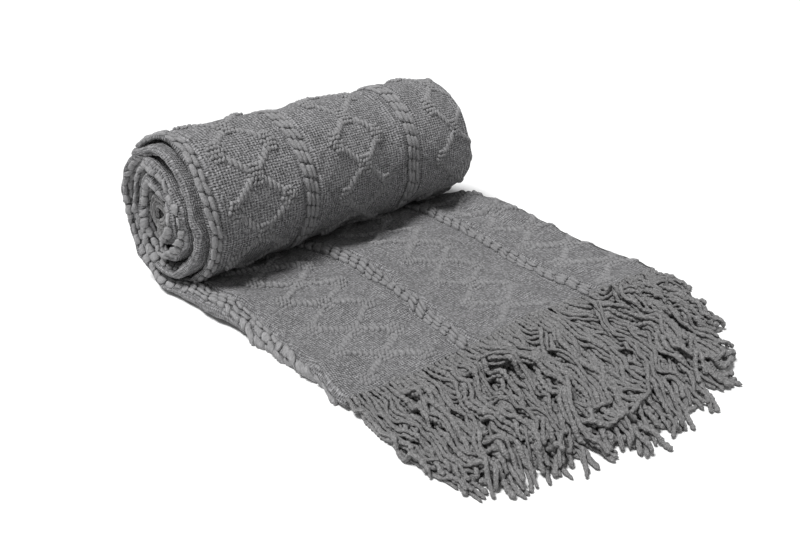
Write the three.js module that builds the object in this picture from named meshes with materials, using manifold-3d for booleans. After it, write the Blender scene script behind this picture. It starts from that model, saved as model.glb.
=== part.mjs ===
// A woven throw folded lengthwise in three and part-rolled, with a fringe at both hems.
// Millimetres, +Z up. The roll lies along Y; the loose tail and its fringe point to +X.
// It is drawn with X = 0 under the roll and Y = 0 at the near fold, then moved to the row's origin,
// which is the middle of the bottom of its box.
import * as THREE from "three";
import { mergeVertices } from "three/addons/utils/BufferGeometryUtils.js";
import Module from "manifold-3d";

const wasm = await Module();
wasm.setup();

// ---- driving sizes ----
const STRIP_WIDTH = 420; // the throw folded in three, measured along Y
const LAYER = 3.4; // one woven layer
const LAYER_PITCH = 5.2; // middle of one layer to the middle of the next
const FACE = LAYER_PITCH + LAYER / 2; // middle of the folded strip to its outer face
const SELVEDGE_SET_BACK = 14; // the outer layer's free edge stops short of the near fold
const HIDDEN_EDGE = 400; // the middle layer's free edge, inside the far fold
const FOLD_STEPS = 4; // facets in each turned edge

const ROLL_HEIGHT = 170;
const ROLL_BACK = 78; // reach of the roll to -X
const ROLL_FRONT = 76; // reach of the roll to +X
const WRAP_PITCH = 17; // one wrap to the next
const LOOSE_BACK = 11; // slack between the outer wrap and the core at the back
const LOOSE_TOP = 2; // the same slack at the top
const WRAPS = 3;
const HALF_STEPS = 9; // stations in half a wrap
const TAPER = 0.055; // the roll is this much smaller at its far end

const HEM_NEAR = 300; // X of the hem at Y = 0
const HEM_FAR = 348; // X of the hem at the far fold
const TAIL_STATIONS = [0.07, 0.16, 0.28, 0.46, 0.64, 0.82, 1];
const TAIL_PUFF = 0.45; // how much thicker the tail is just in front of the roll
const PUFF_PEAK = 0.28; // where on the tail that is
const PUFF_END = 0.82; // where it has settled again

const ROW_WIDTH = 6; // one row of chain stitches
const COLUMN_THICKNESS = 1;
const CLEARANCE = 0.3; // gap kept between two pieces
// Each column has its middle, its rows of stitches and how far it has drifted along Y at the hem.
const OUTER_COLUMNS = [
  { name: "selvedge", centre: 21, rows: 2, drift: 0 },
  { name: "middle", centre: 146, rows: 3, drift: 0 },
  { name: "far", centre: 310, rows: 3, drift: 0 },
];
const INNER_COLUMNS = [
  { name: "near_fold", centre: 11, rows: 3, drift: 0 },
  { name: "middle", centre: 162, rows: 3, drift: -38 },
  { name: "far", centre: 338, rows: 3, drift: -38 },
];

const STRANDS = 4; // flattened strands in one fringe bunch
const STRAND_HALF_HEIGHT = 2.1;
const STRAND_FILL = 0.43; // half width of a strand, as a share of the strand pitch
const STRAND_SIDES = 6;
const STRAND_STEPS = 5;
const UNEVEN = 0.09; // the shortest strand is shorter by this share
const ROOT_LENGTH = 6;
const ROOT_HEIGHT = 3;
// lift is the height of a layer's hem, below the reach of the layer beneath it, and fan the sideways
// drift of the strands' tips at the near and at the far side.
const FRINGE_LAYERS = [
  {
    name: "upper",
    bunches: 12,
    from: 6,
    to: 414,
    lift: 2 * LAYER_PITCH,
    length: 178,
    below: 140,
    fan: [-16, -26],
  },
  {
    name: "middle",
    bunches: 6,
    from: 8,
    to: 398,
    lift: LAYER_PITCH,
    length: 140,
    below: 104,
    fan: [-10, -18],
  },
  {
    name: "lower",
    bunches: 6,
    from: 32,
    to: 412,
    lift: 0,
    length: 104,
    below: 104,
    fan: [-5, -10],
  },
];

const CORE_BUNCHES = 6;
const CORE_HALF_THICKNESS = 3.2;
const CORE_HALVES = [
  { side: -1, from: 59, to: 107, reach: 11 },
  { side: 1, from: 107, to: 72, reach: 19 },
];

const WOVEN = new THREE.MeshStandardMaterial({ color: 0x7d7d80, roughness: 0.95, metalness: 0 });
const CHAIN = new THREE.MeshStandardMaterial({ color: 0x88888b, roughness: 0.9, metalness: 0 });
const FRINGE = new THREE.MeshStandardMaterial({ color: 0x77777a, roughness: 0.95, metalness: 0 });

// ---- the path of the folded strip, from its hem in the core to the loose hem ----

// Each half wrap is half an ellipse between a point on the bottom and one on the top of the roll.
function rollHalves() {
  const halves = [];
  let bottom = FACE;
  let top = ROLL_HEIGHT - FACE;
  let back = ROLL_BACK - FACE;
  let front = ROLL_FRONT - FACE;
  for (let wrap = 0; wrap < WRAPS; wrap++) {
    halves.push({ side: -1, from: bottom, to: top, reach: back });
    bottom += WRAP_PITCH;
    halves.push({ side: 1, from: top, to: bottom, reach: front });
    const first = wrap === 0;
    top -= WRAP_PITCH + (first ? LOOSE_TOP : 0);
    back -= WRAP_PITCH + (first ? LOOSE_BACK : 0);
    front -= WRAP_PITCH;
  }
  return halves;
}

// A station is a point of the path with the normal that points into the roll.
function halfStations(half, steps) {
  const rise = (half.to - half.from) / 2;
  const middle = (half.to + half.from) / 2;
  const stations = [];
  for (let i = 1; i <= steps; i++) {
    const angle = (Math.PI * i) / steps;
    const alongX = half.side * half.reach * Math.cos(angle);
    const alongZ = rise * Math.sin(angle);
    const size = Math.hypot(alongX, alongZ);
    stations.push({
      x: half.side * half.reach * Math.sin(angle),
      z: middle - rise * Math.cos(angle),
      nx: alongZ / size,
      nz: -alongX / size,
    });
  }
  return stations;
}

function tailThickness(share) {
  const before = Math.min(share / PUFF_PEAK, 1);
  const after = Math.min(Math.max((share - PUFF_PEAK) / (PUFF_END - PUFF_PEAK), 0), 1);
  const bump = share < PUFF_PEAK ? before * before * (3 - 2 * before) : 1 - after * after * (3 - 2 * after);
  return 1 + TAIL_PUFF * bump;
}

function stripStations() {
  const wound = rollHalves().flatMap((half) => halfStations(half, HALF_STEPS));
  const flat = { x: 0, z: FACE, nx: 0, nz: 1 };
  const tail = TAIL_STATIONS.map((share) => ({ tail: share }));
  return [...wound.reverse(), flat, ...tail];
}

function coreStations() {
  const start = { x: 0, z: CORE_HALVES[0].from, nx: 0, nz: 1 };
  const wound = CORE_HALVES.flatMap((half) => halfStations(half, HALF_STEPS));
  return [...wound.reverse(), start];
}

function taperAt(y) {
  return 1 - (TAPER * y) / STRIP_WIDTH;
}

function hemAt(y) {
  return HEM_NEAR + ((HEM_FAR - HEM_NEAR) * y) / STRIP_WIDTH;
}

// The point at y across the strip and n off its middle (n > 0 is the face inside the roll).
function place(station, y, n, target) {
  const scale = taperAt(y);
  if (station.tail !== undefined) {
    const z = (n + FACE) * tailThickness(station.tail) * scale;
    return target.set(station.tail * hemAt(y), y, z);
  }
  return target.set((station.x + n * station.nx) * scale, y, (station.z + n * station.nz) * scale);
}

// ---- helpers ----

function bare(geometry) {
  geometry.deleteAttribute("normal");
  geometry.deleteAttribute("uv");
  return mergeVertices(geometry, 1e-3);
}

function meshOf(name, geometry, material) {
  geometry.computeVertexNormals();
  const mesh = new THREE.Mesh(geometry, material);
  mesh.name = name;
  return mesh;
}

// An outline in (y, n) carried along the stations, shifted by drift when it reaches the hem.
function swept(outline, stations, drift = 0) {
  const shape = new THREE.Shape(outline.map(([y, n]) => new THREE.Vector2(y, n)));
  const steps = stations.length - 1;
  const extruded = new THREE.ExtrudeGeometry(shape, { steps, depth: steps, bevelEnabled: false });
  const geometry = bare(extruded);
  const position = geometry.getAttribute("position");
  const point = new THREE.Vector3();
  for (let i = 0; i < position.count; i++) {
    const station = stations[Math.round(position.getZ(i))];
    const shift = drift * (station.tail ?? 0);
    place(station, position.getX(i) + shift, position.getY(i), point);
    position.setXYZ(i, point.x, point.y, point.z);
  }
  return geometry;
}

function arc(centreY, centreN, radius, fromDegrees, toDegrees) {
  const points = [];
  for (let i = 0; i <= FOLD_STEPS; i++) {
    const angle = THREE.MathUtils.degToRad(fromDegrees + ((toDegrees - fromDegrees) * i) / FOLD_STEPS);
    points.push([centreY + radius * Math.cos(angle), centreN + radius * Math.sin(angle)]);
  }
  return points;
}

function rectangle(y0, y1, n0, n1) {
  return [[y0, n0], [y1, n0], [y1, n1], [y0, n1]];
}

function toSolid(geometry) {
  const merged = bare(geometry);
  const vertProperties = new Float32Array(merged.getAttribute("position").array);
  const triVerts = new Uint32Array(merged.index.array);
  return new wasm.Manifold(new wasm.Mesh({ numProp: 3, vertProperties, triVerts }));
}

function fromSolid(solid) {
  const made = solid.getMesh();
  const geometry = new THREE.BufferGeometry();
  geometry.setAttribute("position", new THREE.BufferAttribute(made.vertProperties, 3));
  geometry.setIndex(new THREE.BufferAttribute(made.triVerts, 1));
  return geometry;
}

// ---- the woven panel ----

// A shallow channel in the outer face for a stitch column.
function channel(column) {
  const half = (column.rows * ROW_WIDTH) / 2 + CLEARANCE;
  const low = column.centre - half;
  const high = column.centre + half;
  const floor = -FACE + COLUMN_THICKNESS + CLEARANCE;
  return [[low, -FACE], [low, floor], [high, floor], [high, -FACE]];
}

function panelOutline() {
  const farCentre = STRIP_WIDTH - FACE;
  const nearCentre = LAYER_PITCH / 2 + LAYER / 2;
  const half = LAYER / 2;
  const middleN = LAYER_PITCH / 2;
  return [
    [SELVEDGE_SET_BACK, -FACE],
    ...OUTER_COLUMNS.flatMap(channel),
    ...arc(farCentre, 0, FACE, -90, 90),
    ...arc(nearCentre, middleN, middleN + half, 90, 270),
    [HIDDEN_EDGE, -half],
    [HIDDEN_EDGE, half],
    ...arc(nearCentre, middleN, middleN - half, 270, 90),
    ...arc(farCentre, 0, LAYER_PITCH - half, 90, -90),
    [SELVEDGE_SET_BACK, -LAYER_PITCH + half],
  ];
}

function wovenPanel(stations) {
  return meshOf("woven_panel", swept(panelOutline(), stations), WOVEN);
}

// ---- the chain-stitch columns ----

function chainColumn(face, column, low, stations) {
  const half = (column.rows * ROW_WIDTH) / 2;
  const outline = rectangle(column.centre - half, column.centre + half, low, low + COLUMN_THICKNESS);
  const name = "chain_column_" + face + "_" + column.name;
  return meshOf(name, swept(outline, stations, column.drift), CHAIN);
}

// ---- the loose fringe ----

function strandShape(halfWidth) {
  const corners = [];
  for (let i = 0; i < STRAND_SIDES; i++) {
    const angle = (2 * Math.PI * i) / STRAND_SIDES;
    corners.push(new THREE.Vector2(STRAND_HALF_HEIGHT * Math.cos(angle), halfWidth * Math.sin(angle)));
  }
  return new THREE.Shape(corners);
}

// A strand leaves the root level and comes down to the floor past the tips of the layer below.
function strandPath(start, length, fan, below) {
  const edge = Math.min((below + 2 * STRAND_HALF_HEIGHT) / length, 1);
  const shares = [0, edge / 3, (2 * edge) / 3, edge, (1 + edge) / 2, 1];
  const floor = STRAND_HALF_HEIGHT + CLEARANCE;
  const points = shares.map((share) => {
    const down = edge < 1 ? THREE.MathUtils.smoothstep(share, edge, 1) : 0;
    const z = THREE.MathUtils.lerp(start.z, floor, down);
    return new THREE.Vector3(start.x + length * share, start.y + fan * share, z);
  });
  return new THREE.CatmullRomCurve3(points);
}

function fringeBunch(layer, index) {
  const width = (layer.to - layer.from) / layer.bunches;
  const y0 = layer.from + index * width + CLEARANCE;
  const y1 = y0 + width - 2 * CLEARANCE;
  const rootX = Math.max(hemAt(y0), hemAt(y1)) + CLEARANCE;
  const z = Math.max(layer.lift + LAYER / 2, STRAND_HALF_HEIGHT + CLEARANCE);
  const pitch = (y1 - y0) / STRANDS;
  const root = new THREE.BoxGeometry(ROOT_LENGTH, y1 - y0, ROOT_HEIGHT);
  root.translate(rootX + ROOT_LENGTH / 2, (y0 + y1) / 2, z);
  let solid = toSolid(root);
  for (let i = 0; i < STRANDS; i++) {
    const y = y0 + (i + 0.5) * pitch;
    const fan = THREE.MathUtils.lerp(...layer.fan, y / STRIP_WIDTH);
    const shorter = (UNEVEN * ((index * 3 + i * 5) % 4)) / 3;
    const start = new THREE.Vector3(rootX + ROOT_LENGTH / 2, y, z);
    const length = layer.length * (1 - shorter);
    const extrudePath = strandPath(start, length, fan, layer.below);
    const options = { steps: STRAND_STEPS, extrudePath, bevelEnabled: false };
    solid = solid.add(toSolid(new THREE.ExtrudeGeometry(strandShape(STRAND_FILL * pitch), options)));
  }
  const name = "fringe_" + layer.name + "_" + String(index + 1).padStart(2, "0");
  return meshOf(name, fromSolid(solid), FRINGE);
}

// ---- the fringe wound into the core ----

function coreBunch(index, stations) {
  const width = (HIDDEN_EDGE - SELVEDGE_SET_BACK) / CORE_BUNCHES;
  const y0 = SELVEDGE_SET_BACK + index * width + CLEARANCE;
  const y1 = y0 + width - 2 * CLEARANCE;
  const outline = rectangle(y0, y1, -CORE_HALF_THICKNESS, CORE_HALF_THICKNESS);
  return meshOf("fringe_core_" + (index + 1), swept(outline, stations), FRINGE);
}

// ---- the assembly ----

function buildThrow() {
  const group = new THREE.Group();
  group.name = "folded_throw";
  const stations = stripStations();
  group.add(wovenPanel(stations));
  for (const column of OUTER_COLUMNS) group.add(chainColumn("outer", column, -FACE, stations));
  for (const column of INNER_COLUMNS) group.add(chainColumn("inner", column, FACE + CLEARANCE, stations));
  for (const layer of FRINGE_LAYERS) {
    for (let i = 0; i < layer.bunches; i++) group.add(fringeBunch(layer, i));
  }
  const core = coreStations();
  for (let i = 0; i < CORE_BUNCHES; i++) group.add(coreBunch(i, core));
  const box = new THREE.Box3().setFromObject(group);
  group.position.set(-(box.min.x + box.max.x) / 2, -(box.min.y + box.max.y) / 2, -box.min.z);
  return group;
}

export default buildThrow();
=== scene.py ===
"""A grey woven throw, folded lengthwise in three and part-rolled, with a yarn fringe at both hems."""
import math

import bpy
import numpy as np
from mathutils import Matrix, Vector


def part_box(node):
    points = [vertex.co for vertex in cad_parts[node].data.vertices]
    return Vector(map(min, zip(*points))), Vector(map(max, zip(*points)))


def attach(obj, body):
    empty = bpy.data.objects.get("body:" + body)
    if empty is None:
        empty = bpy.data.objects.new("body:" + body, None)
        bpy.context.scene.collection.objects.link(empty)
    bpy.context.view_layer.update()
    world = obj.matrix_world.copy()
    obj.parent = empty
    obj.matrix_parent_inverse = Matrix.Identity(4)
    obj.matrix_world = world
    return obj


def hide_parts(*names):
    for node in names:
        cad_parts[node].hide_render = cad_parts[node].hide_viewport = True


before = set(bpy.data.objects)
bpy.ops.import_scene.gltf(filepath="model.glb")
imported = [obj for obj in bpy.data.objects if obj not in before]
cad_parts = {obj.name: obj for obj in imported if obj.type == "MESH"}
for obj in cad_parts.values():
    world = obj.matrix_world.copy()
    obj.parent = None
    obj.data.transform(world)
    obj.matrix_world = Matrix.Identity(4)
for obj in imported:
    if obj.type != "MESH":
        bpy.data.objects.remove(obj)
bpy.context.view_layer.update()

# ---- sizes shared with the CAD model, in metres ----

STRIP_WIDTH = 0.420
LAYER_PITCH = 0.0052
FACE = 0.0069  # from the middle of the strip to its face
SET_BACK = 0.014  # from the near fold to the outer free edge
HIDDEN_EDGE = 0.400
ROLL_HEIGHT = 0.170
ROLL_BACK = 0.078
ROLL_FRONT = 0.076
WRAP_PITCH = 0.017
LOOSE_BACK = 0.011  # extra room inside the outer wrap
LOOSE_TOP = 0.002
WRAPS = 3
TAPER = 0.055  # by what share the far end of the roll is smaller
HEM_NEAR = 0.300  # from the roll's middle to the loose hem
HEM_FAR = 0.348
TAIL_PUFF = 0.45  # by what share the tail is thicker at its fullest
PUFF_PEAK = 0.28
PUFF_END = 0.82

panel_low, panel_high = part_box("woven_panel")
ORIGIN = np.array([panel_high.x - HEM_FAR, panel_low.y, 0.0])

# ---- sizes of the cloth and its yarns, in metres ----

CLOTH = 0.0028  # thickness
VISIBLE_STEP = 0.0022  # of the mesh
HIDDEN_STEP = 0.005
WEFT_PITCH = 0.0025
WARP_PITCH = 0.0037
STITCH_LENGTH = 0.0130
DIAMOND_HALF_WIDTH = 0.037
FLOAT_PITCH = 0.0044
KNOT_PITCH = 0.0041
FLOAT_SIZE = (0.0048, 0.0023, 0.0020)  # half length, half width and half height
KNOT_SIZE = (0.0021, 0.0020, 0.0025)
YARN = 0.0043
COLUMN_RISE = 0.0014  # how far the cloth stands out at a column and at a line of floats
DIAMOND_RISE = 0.0010
GROOVE = 0.0034  # how deep it sinks beside a column
FULLNESS = 0.0047  # how far the outer face stands out all over the roll
FLARE = 0.015  # how far the near edge of the outer wrap stands out at the roll's back
SHOULDER = 0.010  # and sinks in at its top
BAND = 0.0028  # how far a band near the far end stands out
LIP = 0.007  # how far the tail's far edge rises by the roll
VALLEY = 0.004
TABLE_GAP = 0.0004
YARN_GAP = 0.0003

# rings, sides and squareness of the grains that stand for stitches, floats and knots
STITCH_SHAPE = (9, 10, 3.2)
TAIL_STITCH_SHAPE = (9, 10, 2.5)
FLOAT_SHAPE = (7, 8, 3.0)

# name, middle across the strip, rows of stitches, their pitch, how far each row lags behind its neighbour
OUTER_COLUMNS = [
    ("selvedge", 0.0205, 2, 0.0064, 0.45),
    ("middle", 0.147, 3, 0.0059, 0.15),
    ("far", 0.311, 3, 0.0059, 0.15),
]
INNER_COLUMNS = [
    ("near_fold", 0.0094, 3, 0.0054, 0.45),
    ("middle", 0.162, 3, 0.0060, 0.28),
    ("far", 0.338, 3, 0.0055, 0.28),
]

# middle across the strip, length of one diamond and the place of a crossing along the strip
OUTER_DIAMONDS = [(0.080, 0.0546, 0.6090), (0.228, 0.0535, 0.6275), (0.391, 0.0580, 0.6170)]
INNER_DIAMONDS = [(0.0865, 0.0510, 0.0900), (0.250, 0.0510, 0.0807), (0.395, 0.0510, 0.0850)]

# how far the tail has slipped sideways, for shares of the way from the roll to its hem
SLIP_SHARES = [0.0, 0.15, 0.40, 0.65, 0.85, 1.0]
NEAR_EDGE_SLIP = [0.000, -0.003, -0.003, 0.001, -0.004, -0.015]
FAR_EDGE_SLIP = [-0.014, -0.011, 0.006, -0.011, -0.019, -0.017]
# the same for what is worked into its upper face, at five places across the strip
FACE_PLACES = [0.0, 0.0865, 0.162, 0.338, 0.415]
FACE_SLIP = [
    [0.0, 0.0, 0.0, -0.010, -0.022, -0.031],
    [0.0, 0.0, 0.004, -0.013, -0.027, -0.037],
    [0.0, -0.003, 0.008, -0.010, -0.027, -0.041],
    [0.0, -0.004, -0.013, -0.032, -0.044, -0.042],
    [0.0, 0.0, -0.002, -0.006, -0.012, -0.018],
]


def smoothstep(low, high, value):
    share = np.clip((value - low) / (high - low), 0.0, 1.0)
    return share * share * (3.0 - 2.0 * share)


def between(value, rise_start, rise_end, fall_start, fall_end):
    """1 between two places and 0 outside them, with a soft rise and a soft fall."""
    return smoothstep(rise_start, rise_end, value) * (1.0 - smoothstep(fall_start, fall_end, value))


def ripple(points, seed, size):
    """Smooth noise of about unit height on an array of points, with features of the given size."""
    rng = np.random.default_rng(seed)
    total = 0.0
    for octave in range(3):
        for _ in range(5):
            direction = rng.normal(size=points.shape[-1])
            direction *= rng.uniform(0.7, 1.3) / np.linalg.norm(direction)
            frequency = 2.0 * math.pi * 2**octave / size
            total = total + np.sin(points @ direction * frequency + rng.uniform(0, 2 * math.pi)) / 2**octave
    return total / 2.2


# ---- the path of the folded strip ----


def half_wraps():
    """Each half wrap is half an ellipse: its side, the heights it runs between and its reach in X."""
    halves = []
    bottom, top = FACE, ROLL_HEIGHT - FACE
    back, front = ROLL_BACK - FACE, ROLL_FRONT - FACE
    for wrap in range(WRAPS):
        halves.append((-1, bottom, top, back))
        bottom += WRAP_PITCH
        halves.append((1, top, bottom, front))
        top -= WRAP_PITCH + (LOOSE_TOP if wrap == 0 else 0.0)
        back -= WRAP_PITCH + (LOOSE_BACK if wrap == 0 else 0.0)
        front -= WRAP_PITCH
    return halves


def distance_along(x, z):
    """Distance of every point from the first, along the line of the points."""
    return np.concatenate([[0.0], np.cumsum(np.hypot(np.diff(x), np.diff(z)))])


class WoundPath:
    """A chain of half ellipses; gives x, z and the normal at a distance along it."""

    def __init__(self, halves, steps=90):
        angle = np.linspace(0, math.pi, steps, endpoint=False)
        parts = []
        for side, start, end, reach in halves:
            rise = (end - start) / 2
            along_x = side * reach * np.cos(angle)
            along_z = rise * np.sin(angle)
            size = np.hypot(along_x, along_z)
            x = side * reach * np.sin(angle)
            z = (start + end) / 2 - rise * np.cos(angle)
            parts.append([x, z, along_z / size, -along_x / size])
        self.values = np.concatenate(parts, axis=1)
        self.distance = distance_along(*self.values[:2])
        self.length = self.distance[-1]

    def at(self, distance):
        return [np.interp(distance, self.distance, value) for value in self.values]


WOUND = WoundPath(half_wraps())
OUTER_WRAP = WoundPath(half_wraps()[:2]).length
WOVEN_LENGTH = HEM_NEAR + WOUND.length


def hem_at(y):
    """X of the loose hem, which runs askew and bows a little."""
    share = y / STRIP_WIDTH
    return HEM_NEAR + (HEM_FAR - HEM_NEAR) * share + 0.004 * np.sin(3.0 * math.pi * share)


def tail_thickness(share):
    """How much thicker the tail is than the bare strip."""
    return 1.0 + TAIL_PUFF * between(share, 0.0, PUFF_PEAK, PUFF_PEAK, PUFF_END)


def eased(share, values):
    """The values at SLIP_SHARES, joined by a line with softened corners."""
    nearby = [np.interp(share + step, SLIP_SHARES, values) for step in (-0.08, -0.04, 0.0, 0.04, 0.08)]
    return sum(nearby) / len(nearby)


def edge_slip(share, y):
    """How far the tail has slipped sideways at y."""
    far = np.clip(y / STRIP_WIDTH, 0.0, 1.0)
    return eased(share, NEAR_EDGE_SLIP) * (1.0 - far) + eased(share, FAR_EDGE_SLIP) * far


def face_slip(share, y):
    """How far the stitches at y have slipped over the tail's upper face, beyond the slip of its edges."""
    total = 0.0
    for bump, values in zip(np.eye(len(FACE_PLACES)), FACE_SLIP):
        total = total + np.interp(y, FACE_PLACES, bump) * eased(share, values)
    return total - edge_slip(share, y)


def tail_share(s):
    """0 where the tail leaves the roll and 1 at its hem."""
    return np.clip(1.0 - s / HEM_NEAR, 0.0, 1.0)


def relief(s, y, columns, diamonds, slipped):
    """How far a face stands out: raised at columns and diamonds, with a groove by each column."""
    share = tail_share(s)
    gap = 1.0
    for _, middle, rows, pitch, _ in columns:
        shift = face_slip(share, middle) if slipped else 0.0
        gap = np.minimum(gap, np.maximum(np.abs(y - middle - shift) - rows * pitch / 2, 0.0))
    raised = COLUMN_RISE * np.exp(-((gap / 0.016) ** 2))
    height = raised - GROOVE * np.exp(-(((gap - 0.0015) / 0.0026) ** 2))
    for middle, length, crossing in diamonds:
        shift = face_slip(share, middle) if slipped else 0.0
        phase = np.abs((s - crossing) / length - np.round((s - crossing) / length)) * 2.0
        off_line = np.abs(np.abs(y - middle - shift) - phase * DIAMOND_HALF_WIDTH)
        height = height + DIAMOND_RISE * np.exp(-((off_line / 0.0055) ** 2)) * smoothstep(0.0, 0.006, gap)
    return height


def off_middle(s, y, n, wound_by):
    """How far a point stands off the strip's middle, with the relief and the loose places of the roll."""
    inner_face = np.clip(n / LAYER_PITCH, 0.0, 1.0)
    outer_face = np.clip(-n / LAYER_PITCH, 0.0, 1.0)
    off_table = smoothstep(0.0, 0.06, np.abs(wound_by))
    n = n + inner_face * relief(s, y, INNER_COLUMNS, INNER_DIAMONDS, True)
    n = n - outer_face * off_table * (relief(s, y, OUTER_COLUMNS, OUTER_DIAMONDS, False) + FULLNESS)
    at_back = between(wound_by, 0.02, 0.07, 0.18, 0.25)
    at_shoulder = between(wound_by, 0.12, 0.19, 0.21, 0.27)
    on_outside = between(wound_by, 0.15, 0.20, 0.30, 0.45)
    n = n + FLARE * smoothstep(0.0, 0.035, y) * at_back
    n = n + SHOULDER * (1.0 - smoothstep(0.0, 0.03, y)) * at_shoulder
    return n - BAND * smoothstep(0.283, 0.300, y) * (1.0 - smoothstep(0.36, 0.41, y)) * on_outside


def roll_points(y, n, taper, path):
    x, z, normal_x, normal_z = path
    points = np.stack([x * taper, y, z * taper], axis=-1)
    swell = 0.0018 * ripple(points, 21, 0.13) + 0.0008 * ripple(points, 22, 0.045)
    points[..., 0] += (n + swell) * normal_x * taper
    points[..., 2] = np.maximum(points[..., 2] + (n + swell) * normal_z * taper, TABLE_GAP)
    return points


def tail_points(share, y, n, height, taper):
    """The tail lies in soft waves; by the roll its far edge rises, with a valley beside it."""
    points = np.stack([share * hem_at(y), y, n + FACE], axis=-1)
    by_roll = between(share, 0.02, 0.2, 0.2, 0.7)
    lip = smoothstep(0.37, 0.405, y) * by_roll
    valley = np.exp(-(((y - 0.365) / 0.018) ** 2)) * by_roll
    waves = 0.0015 * ripple(points, 23, 0.11) + 0.0008 * ripple(points, 24, 0.04)
    lift = height * (waves + LIP * lip - VALLEY * valley)
    points[..., 2] = np.maximum((n + FACE) * tail_thickness(share) * taper + lift, TABLE_GAP)
    return points


def place(s, y, n):
    """World points s from the loose hem, y across the folded strip and n off its middle."""
    s, y, n = np.broadcast_arrays(s, y, n)
    share = tail_share(s)
    wound_by = s - HEM_NEAR
    height = (n + FACE) / (2 * FACE)
    n = off_middle(s, y, n, wound_by)

    # both edges wander, more so in the core, and the far end of the roll leans
    near, far = 1.0 - smoothstep(0.0, 0.05, y), smoothstep(0.37, 0.42, y)
    edge = np.stack([s, n * 4.0], axis=-1)
    core = smoothstep(0.40, 0.56, wound_by)
    unruly = 1.0 + 0.5 * core
    y = y + unruly * (0.0020 * ripple(edge, 11, 0.08) * near + 0.0018 * ripple(edge, 12, 0.12) * far)
    path = WOUND.at(wound_by)
    lean = smoothstep(0.0, 0.04, wound_by) * (0.008 - 0.009 * smoothstep(0.04, 0.14, path[1]))
    y = y + core * (-0.002 * near - 0.004 * far) + lean * far + edge_slip(share, y)

    taper = 1.0 - TAPER * y / STRIP_WIDTH
    on_roll = (s >= HEM_NEAR)[..., None]
    points = np.where(on_roll, roll_points(y, n, taper, path), tail_points(share, y, n, height, taper))
    return points + ORIGIN


# ---- mesh building ----


def new_object(name, data):
    made = bpy.data.objects.new(name, data)
    bpy.context.scene.collection.objects.link(made)
    return made


def add_piece(name, points, quads, material, nodes, uv):
    """A smooth mesh of quads on the part's one body, in the place of the named CAD nodes."""
    mesh = bpy.data.meshes.new(name)
    mesh.vertices.add(len(points))
    mesh.vertices.foreach_set("co", points.astype(np.float32).ravel())
    mesh.loops.add(quads.size)
    mesh.loops.foreach_set("vertex_index", quads.astype(np.int32).ravel())
    mesh.polygons.add(len(quads))
    mesh.polygons.foreach_set("loop_start", np.arange(0, quads.size, 4, dtype=np.int32))
    mesh.polygons.foreach_set("use_smooth", np.ones(len(quads), dtype=bool))
    layer = mesh.uv_layers.new(name="flat")
    layer.data.foreach_set("uv", uv[quads.ravel()].astype(np.float32).ravel())
    mesh.update(calc_edges=True)
    mesh.materials.append(material)
    piece = new_object(name, mesh)
    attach(piece, "root")
    if nodes:
        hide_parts(*nodes)
    return piece


def grid_quads(rows, columns):
    """Quads of a rows by columns grid of points."""
    index = np.arange(rows * columns).reshape(rows, columns)
    corners = [index[:-1, :-1], index[:-1, 1:], index[1:, 1:], index[1:, :-1]]
    return np.stack(corners, axis=-1).reshape(-1, 4)


def tube_quads(count, rings, sides):
    """Quads of count closed tubes, each of rings times sides points, with both ends capped."""
    ring = np.arange(rings - 1)[:, None] * sides
    around = np.arange(sides)[None, :]
    here = ring + around
    following = ring + (around + 1) % sides
    walls = np.stack([here, following, following + sides, here + sides], axis=-1)
    first = np.array([[i, sides - 1 - i, sides - 2 - i, i + 1] for i in range(sides // 2 - 1)])
    last = (rings - 1) * sides + first[:, ::-1]
    one = np.concatenate([walls.reshape(-1, 4), first, last])
    offsets = np.arange(count)[:, None, None] * rings * sides
    return (one[None] + offsets).reshape(-1, 4)


# y of the two folds, and the distance across the cloth at which its inner face starts
FAR_FOLD, NEAR_FOLD = STRIP_WIDTH - FACE, 0.0043
INNER_START = FAR_FOLD - SET_BACK + math.pi * LAYER_PITCH

# ---- materials ----

CLOTH_COLOUR = (0.300, 0.298, 0.305)
CHAIN_COLOUR = (0.300, 0.298, 0.303)
FRINGE_COLOUR = (0.292, 0.289, 0.290)
# a darker copy of the chain yarn colour for the tail: painted shade that tones down the overhead light on
# the tail
TAIL_SHADED_CHAIN_COLOUR = (0.266, 0.264, 0.269)
FIBRE_SCALE = 900.0
INNER_OPENNESS = 0.92  # of the holes on the inner face
# the inner face, on top along the tail, is a tenth darker: painted shade that tones down the overhead light
# on it
INNER_PAINTED_SHADE = 0.90
INNER_WARP = 1.6  # how much finer its threads lie


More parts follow.
